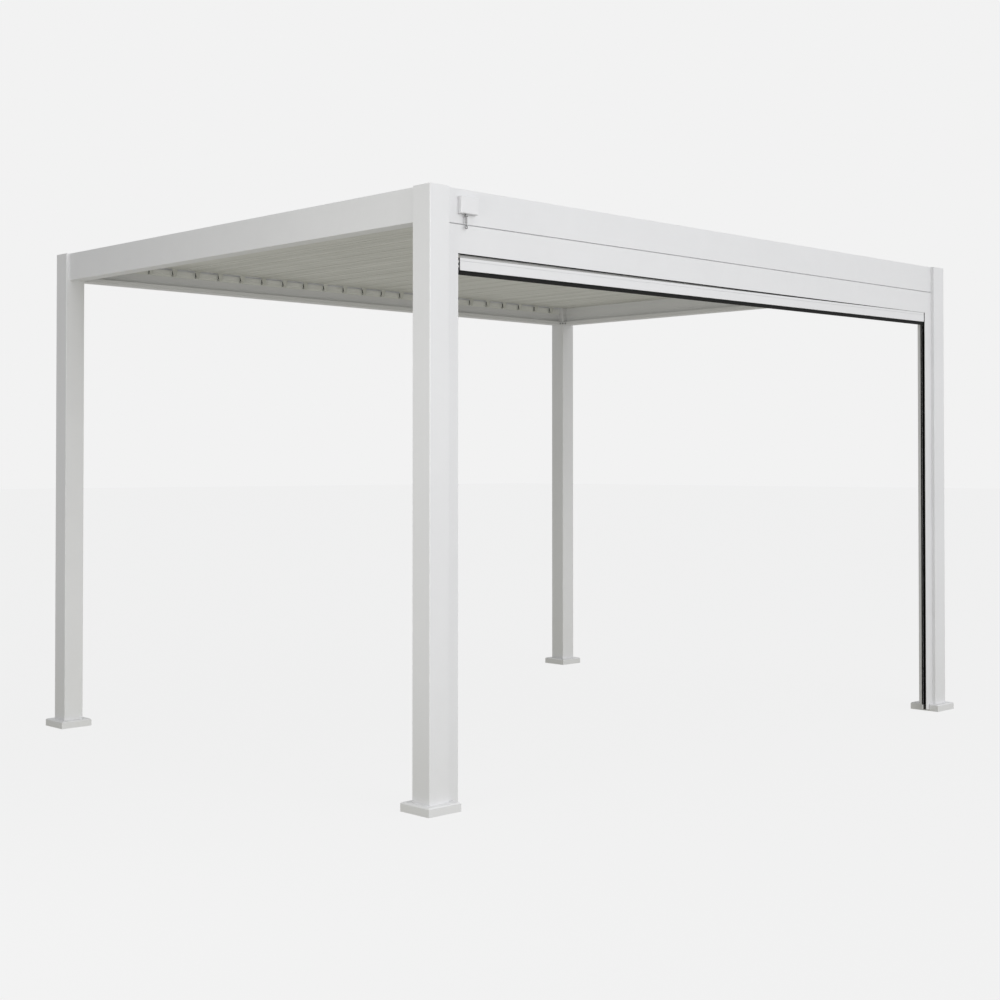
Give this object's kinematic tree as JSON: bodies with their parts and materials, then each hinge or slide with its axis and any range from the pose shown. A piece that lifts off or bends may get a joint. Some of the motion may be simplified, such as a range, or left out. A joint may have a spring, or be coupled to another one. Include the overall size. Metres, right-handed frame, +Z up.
{
  "type": "louvered pergola",
  "caption": "Free-standing aluminium pergola on square posts, with a roof of tilting louvers, a hand crank drive and a roller screen raised under one long beam.",
  "frame": {"origin": "on the ground under the middle of the frame", "axes": "+X along the long sides, +Z up; the long side with the roller screen faces -Y"},
  "size_m": [3.966, 3.066, 2.5],
  "materials": {
    "frame_white": "satin white powder coat",
    "louver_white": "satin white powder coat",
    "gearbox_white": "satin white powder coat on a die-cast housing",
    "cover_white": "satin white powder coat on a die-cast cover",
    "pivot_plastic": "moulded, matt white",
    "bare_aluminium": "mill finish",
    "bracket_metal": "zinc plated",
    "steel": "zinc plated",
    "black_rubber": "black, matt",
    "dark_plastic": "moulded, dark grey",
    "screen_cloth": "coated glass-fibre screen cloth"
  },
  "bodies": {
    "frame": {"bar_end_plugs": "dark_plastic", "beam_front": "frame_white", "beam_left": "frame_white", "beam_rear": "frame_white", "beam_right": "frame_white", "corner_brackets": "bracket_metal", "edge_strip_left": "louver_white", "edge_strip_right": "louver_white", "foot_covers": "cover_white", "foot_plate_front_left": "bracket_metal", "foot_plate_front_right": "bracket_metal", "foot_plate_rear_left": "bracket_metal", "foot_plate_rear_right": "bracket_metal", "gearbox": "gearbox_white", "guide_end_plugs": "dark_plastic", "guide_inserts": "black_rubber", "pivot_rails": "pivot_plastic", "post_caps": "frame_white", "post_front_left": "frame_white", "post_front_right": "frame_white", "post_rear_left": "frame_white", "post_rear_right": "frame_white", "screen_bottom_bar": "frame_white", "screen_cassette": "frame_white", "screen_fabric": "screen_cloth", "screen_guide_left": "frame_white", "screen_guide_right": "frame_white", "screen_roll": "screen_cloth", "screen_seal": "black_rubber"},
    "louver_01": {"louver_01": "louver_white"},
    "louver_02": {"louver_02": "louver_white"},
    "louver_03": {"louver_03": "louver_white"},
    "louver_04": {"louver_04": "louver_white"},
    "louver_05": {"louver_05": "louver_white"},
    "louver_06": {"louver_06": "louver_white"},
    "louver_07": {"louver_07": "louver_white"},
    "louver_08": {"louver_08": "louver_white"},
    "louver_09": {"louver_09": "louver_white"},
    "louver_10": {"louver_10": "louver_white"},
    "louver_11": {"louver_11": "louver_white"},
    "louver_12": {"louver_12": "louver_white"},
    "louver_13": {"louver_13": "louver_white"},
    "louver_14": {"louver_14": "louver_white"},
    "louver_15": {"louver_15": "louver_white"},
    "louver_16": {"louver_16": "louver_white"},
    "louver_17": {"louver_17": "louver_white"},
    "louver_18": {"louver_18": "louver_white"},
    "louver_19": {"louver_19": "louver_white"},
    "louver_20": {"louver_20": "louver_white"},
    "louver_21": {"louver_21": "louver_white"},
    "louver_22": {"louver_22": "louver_white"},
    "louver_23": {"louver_23": "louver_white"},
    "louver_24": {"louver_24": "louver_white"},
    "link_bar": {"link_bar": "bare_aluminium"},
    "crank_eye": {"crank_eye": "steel"}
  },
  "joints": [
    {"name": "louver_01_tilt", "type": "hinge", "parent": "frame", "child": "louver_01", "pos_m": [-1.7365, 0, 2.441], "axis": [0, -1, 0], "range_deg": [0, 90]},
    {"name": "louver_02_tilt", "type": "hinge", "parent": "frame", "child": "louver_02", "pos_m": [-1.5855, 0, 2.441], "axis": [0, -1, 0], "range_deg": [0, 90]},
    {"name": "louver_03_tilt", "type": "hinge", "parent": "frame", "child": "louver_03", "pos_m": [-1.4345, 0, 2.441], "axis": [0, -1, 0], "range_deg": [0, 90]},
    {"name": "louver_04_tilt", "type": "hinge", "parent": "frame", "child": "louver_04", "pos_m": [-1.2835, 0, 2.441], "axis": [0, -1, 0], "range_deg": [0, 90]},
    {"name": "louver_05_tilt", "type": "hinge", "parent": "frame", "child": "louver_05", "pos_m": [-1.1325, 0, 2.441], "axis": [0, -1, 0], "range_deg": [0, 90]},
    {"name": "louver_06_tilt", "type": "hinge", "parent": "frame", "child": "louver_06", "pos_m": [-0.9815, 0, 2.441], "axis": [0, -1, 0], "range_deg": [0, 90]},
    {"name": "louver_07_tilt", "type": "hinge", "parent": "frame", "child": "louver_07", "pos_m": [-0.8305, 0, 2.441], "axis": [0, -1, 0], "range_deg": [0, 90]},
    {"name": "louver_08_tilt", "type": "hinge", "parent": "frame", "child": "louver_08", "pos_m": [-0.6795, 0, 2.441], "axis": [0, -1, 0], "range_deg": [0, 90]},
    {"name": "louver_09_tilt", "type": "hinge", "parent": "frame", "child": "louver_09", "pos_m": [-0.5285, 0, 2.441], "axis": [0, -1, 0], "range_deg": [0, 90]},
    {"name": "louver_10_tilt", "type": "hinge", "parent": "frame", "child": "louver_10", "pos_m": [-0.3775, 0, 2.441], "axis": [0, -1, 0], "range_deg": [0, 90]},
    {"name": "louver_11_tilt", "type": "hinge", "parent": "frame", "child": "louver_11", "pos_m": [-0.2265, 0, 2.441], "axis": [0, -1, 0], "range_deg": [0, 90]},
    {"name": "louver_12_tilt", "type": "hinge", "parent": "frame", "child": "louver_12", "pos_m": [-0.0755, 0, 2.441], "axis": [0, -1, 0], "range_deg": [0, 90]},
    {"name": "louver_13_tilt", "type": "hinge", "parent": "frame", "child": "louver_13", "pos_m": [0.0755, 0, 2.441], "axis": [0, -1, 0], "range_deg": [0, 90]},
    {"name": "louver_14_tilt", "type": "hinge", "parent": "frame", "child": "louver_14", "pos_m": [0.2265, 0, 2.441], "axis": [0, -1, 0], "range_deg": [0, 90]},
    {"name": "louver_15_tilt", "type": "hinge", "parent": "frame", "child": "louver_15", "pos_m": [0.3775, 0, 2.441], "axis": [0, -1, 0], "range_deg": [0, 90]},
    {"name": "louver_16_tilt", "type": "hinge", "parent": "frame", "child": "louver_16", "pos_m": [0.5285, 0, 2.441], "axis": [0, -1, 0], "range_deg": [0, 90]},
    {"name": "louver_17_tilt", "type": "hinge", "parent": "frame", "child": "louver_17", "pos_m": [0.6795, 0, 2.441], "axis": [0, -1, 0], "range_deg": [0, 90]},
    {"name": "louver_18_tilt", "type": "hinge", "parent": "frame", "child": "louver_18", "pos_m": [0.8305, 0, 2.441], "axis": [0, -1, 0], "range_deg": [0, 90]},
    {"name": "louver_19_tilt", "type": "hinge", "parent": "frame", "child": "louver_19", "pos_m": [0.9815, 0, 2.441], "axis": [0, -1, 0], "range_deg": [0, 90]},
    {"name": "louver_20_tilt", "type": "hinge", "parent": "frame", "child": "louver_20", "pos_m": [1.1325, 0, 2.441], "axis": [0, -1, 0], "range_deg": [0, 90]},
    {"name": "louver_21_tilt", "type": "hinge", "parent": "frame", "child": "louver_21", "pos_m": [1.2835, 0, 2.441], "axis": [0, -1, 0], "range_deg": [0, 90]},
    {"name": "louver_22_tilt", "type": "hinge", "parent": "frame", "child": "louver_22", "pos_m": [1.4345, 0, 2.441], "axis": [0, -1, 0], "range_deg": [0, 90]},
    {"name": "louver_23_tilt", "type": "hinge", "parent": "frame", "child": "louver_23", "pos_m": [1.5855, 0, 2.441], "axis": [0, -1, 0], "range_deg": [0, 90]},
    {"name": "louver_24_tilt", "type": "hinge", "parent": "frame", "child": "louver_24", "pos_m": [1.7365, 0, 2.441], "axis": [0, -1, 0], "range_deg": [0, 90]},
    {"name": "link_bar_swing", "type": "hinge", "parent": "louver_01", "child": "link_bar", "pos_m": [-1.76478, -1.416, 2.41272], "axis": [0, -1, 0], "range_deg": [-90, 0]},
    {"name": "crank_turn", "type": "hinge", "parent": "frame", "child": "crank_eye", "pos_m": [-1.7475, -1.493, 2.399], "axis": [0, 0, 1], "range_deg": [0, 1440]}
  ],
  "couplings": [
    {"joint": "louver_02_tilt", "follows": "louver_01_tilt", "ratio": 1},
    {"joint": "louver_03_tilt", "follows": "louver_01_tilt", "ratio": 1},
    {"joint": "louver_04_tilt", "follows": "louver_01_tilt", "ratio": 1},
    {"joint": "louver_05_tilt", "follows": "louver_01_tilt", "ratio": 1},
    {"joint": "louver_06_tilt", "follows": "louver_01_tilt", "ratio": 1},
    {"joint": "louver_07_tilt", "follows": "louver_01_tilt", "ratio": 1},
    {"joint": "louver_08_tilt", "follows": "louver_01_tilt", "ratio": 1},
    {"joint": "louver_09_tilt", "follows": "louver_01_tilt", "ratio": 1},
    {"joint": "louver_10_tilt", "follows": "louver_01_tilt", "ratio": 1},
    {"joint": "louver_11_tilt", "follows": "louver_01_tilt", "ratio": 1},
    {"joint": "louver_12_tilt", "follows": "louver_01_tilt", "ratio": 1},
    {"joint": "louver_13_tilt", "follows": "louver_01_tilt", "ratio": 1},
    {"joint": "louver_14_tilt", "follows": "louver_01_tilt", "ratio": 1},
    {"joint": "louver_15_tilt", "follows": "louver_01_tilt", "ratio": 1},
    {"joint": "louver_16_tilt", "follows": "louver_01_tilt", "ratio": 1},
    {"joint": "louver_17_tilt", "follows": "louver_01_tilt", "ratio": 1},
    {"joint": "louver_18_tilt", "follows": "louver_01_tilt", "ratio": 1},
    {"joint": "louver_19_tilt", "follows": "louver_01_tilt", "ratio": 1},
    {"joint": "louver_20_tilt", "follows": "louver_01_tilt", "ratio": 1},
    {"joint": "louver_21_tilt", "follows": "louver_01_tilt", "ratio": 1},
    {"joint": "louver_22_tilt", "follows": "louver_01_tilt", "ratio": 1},
    {"joint": "louver_23_tilt", "follows": "louver_01_tilt", "ratio": 1},
    {"joint": "louver_24_tilt", "follows": "louver_01_tilt", "ratio": 1},
    {"joint": "link_bar_swing", "follows": "louver_01_tilt", "ratio": -1},
    {"joint": "crank_turn", "follows": "louver_01_tilt", "ratio": 16}
  ]
}
